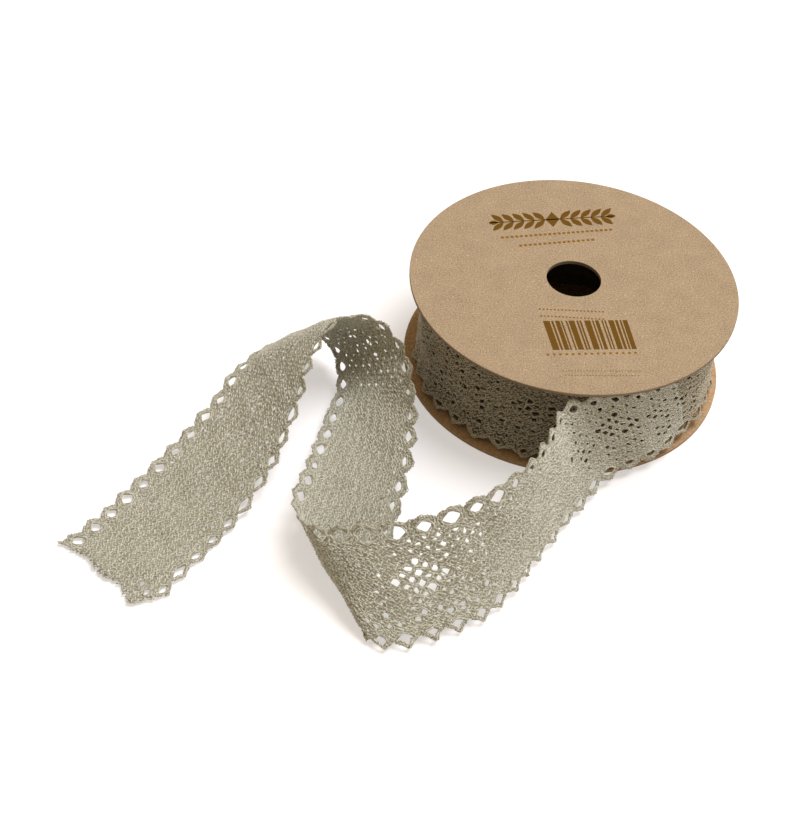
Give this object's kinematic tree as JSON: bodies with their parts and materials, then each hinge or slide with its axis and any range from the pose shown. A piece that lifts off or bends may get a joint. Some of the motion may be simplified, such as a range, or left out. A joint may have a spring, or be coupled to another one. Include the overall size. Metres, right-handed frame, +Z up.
{
  "type": "ribbon spool",
  "caption": "Spool of cotton lace ribbon wound between round kraft boards, with its loose end twisting out over the table and coming to rest flat.",
  "frame": {"origin": "middle of the whole part's box, on the table that it stands on", "axes": "+Z up along the spool's axis, +X to the right and +Y away from a viewer who has the loose end in front and to the left"},
  "size_m": [0.1704, 0.1518, 0.03],
  "materials": {
    "board": "matt natural kraft board with fine fibre specks",
    "core": "matt grey-brown board tube",
    "lace": "matt taupe cotton lace"
  },
  "bodies": {
    "root": {"flange_top": "board", "flange_bottom": "board", "core": "core", "roll": "lace", "tail": "lace"}
  },
  "joints": []
}
